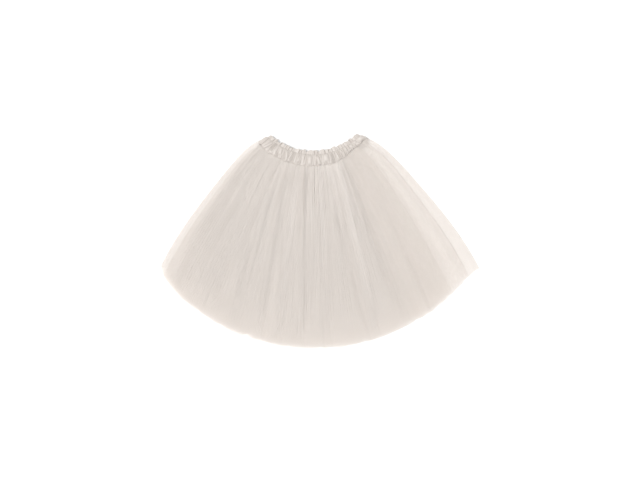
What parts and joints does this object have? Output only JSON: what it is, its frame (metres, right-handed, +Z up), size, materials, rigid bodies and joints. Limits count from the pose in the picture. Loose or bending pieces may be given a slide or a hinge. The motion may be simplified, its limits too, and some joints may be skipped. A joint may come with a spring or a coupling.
{
  "type": "ballet tutu skirt",
  "caption": "Ballet tutu skirt laid flat: layered tulle gathered in pleats onto a ruched satin waistband with a frilled heading.",
  "frame": {"origin": "on the surface it lies on, under the middle of the skirt's outline", "axes": "+X to the skirt's right across its width, +Y from the hem towards the waist, +Z up out of the surface it lies on"},
  "size_m": [0.6498, 0.4347, 0.0227],
  "materials": {
    "tulle_outer": "soft ivory tulle net, faintly see-through",
    "tulle_middle": "soft ivory tulle net",
    "tulle_inner": "soft ivory tulle net",
    "satin_band": "ruched ivory satin with soft highlights",
    "satin_heading": "ivory satin, gathered edge"
  },
  "bodies": {
    "root": {"tulle_outer_front": "tulle_outer", "tulle_outer_back": "tulle_outer", "tulle_middle_front": "tulle_middle", "tulle_middle_back": "tulle_middle", "tulle_inner_front": "tulle_inner", "tulle_inner_back": "tulle_inner", "waistband_front": "satin_band", "waistband_back": "satin_band", "heading_front": "satin_heading", "heading_back": "satin_heading"}
  },
  "joints": []
}
